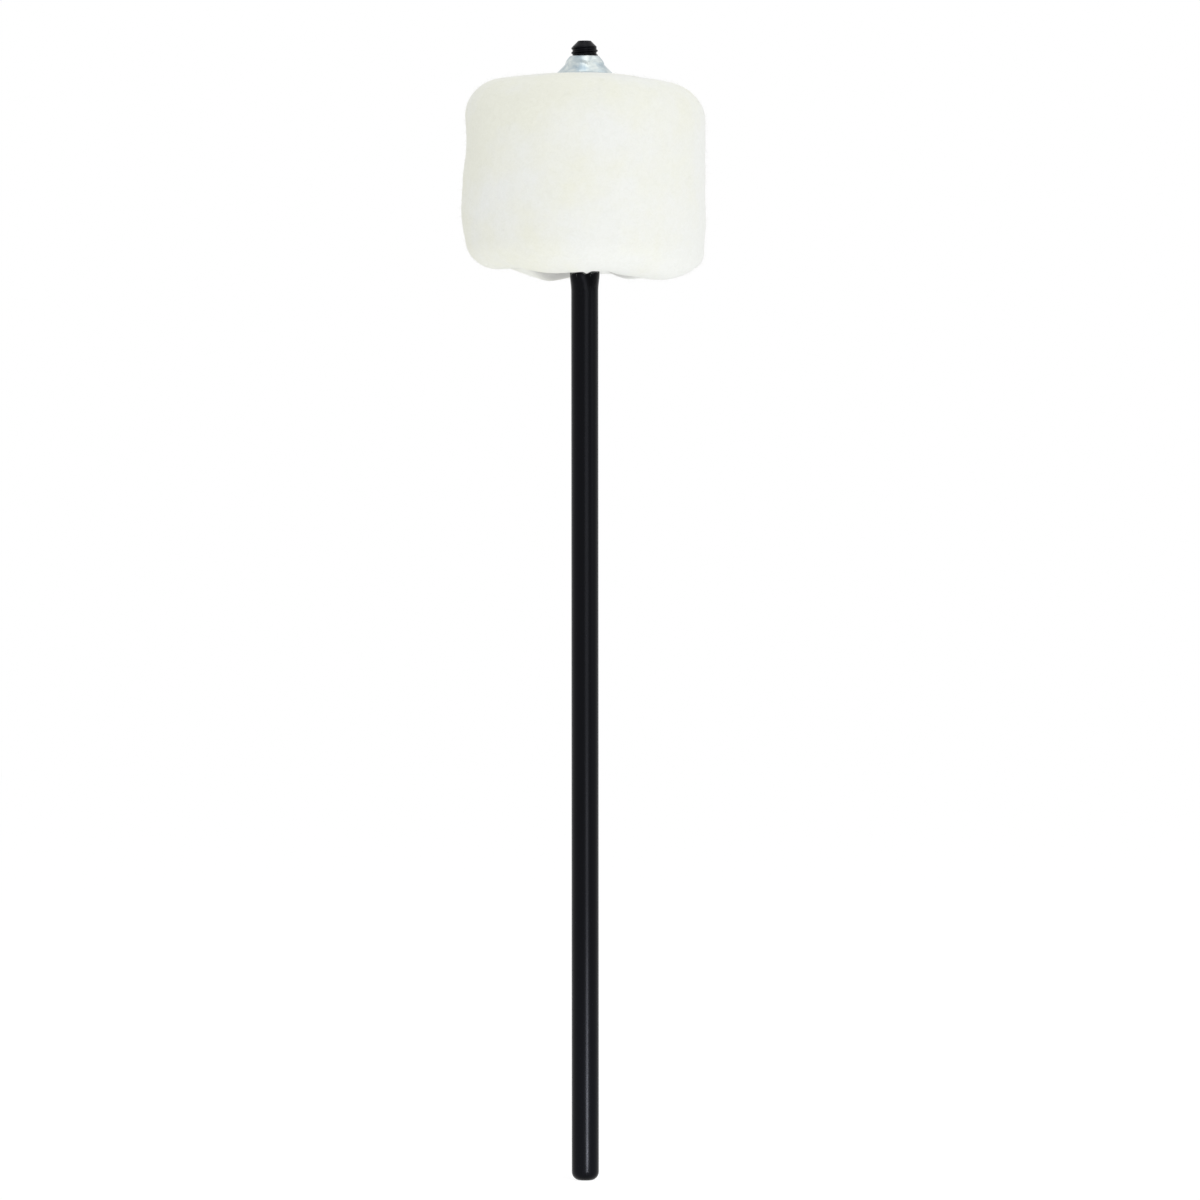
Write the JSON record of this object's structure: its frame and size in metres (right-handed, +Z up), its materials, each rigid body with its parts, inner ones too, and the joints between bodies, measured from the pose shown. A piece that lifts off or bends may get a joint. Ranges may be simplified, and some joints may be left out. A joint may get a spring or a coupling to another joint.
{
  "type": "bass drum beater",
  "caption": "Straight black steel rod with a barrel-shaped pressed felt head on its own axis, held between washers under a flanged lock nut, for clamping in a drum pedal's hub.",
  "frame": {"origin": "centre of the rod's lower end, on the rod's axis", "axes": "+Z up the rod to the felt head, -Y towards the pictured side, +X to the right in the picture"},
  "size_m": [0.0538, 0.0538, 0.252],
  "materials": {
    "black_steel": "smooth black coating on steel, satin",
    "zinc_plate": "bright zinc plating, faintly blue",
    "felt": "dense pressed wool felt, cream white, slightly fuzzy"
  },
  "bodies": {
    "rod": {"beater_rod": "black_steel", "flange_nut": "zinc_plate"},
    "head": {"felt_head": "felt", "lower_washer": "zinc_plate", "upper_washer": "zinc_plate"}
  },
  "joints": [
    {"name": "head_turn", "type": "hinge", "parent": "rod", "child": "head", "pos_m": [0, 0, 0.2232], "axis": [0, 0, 1], "continuous": true}
  ]
}
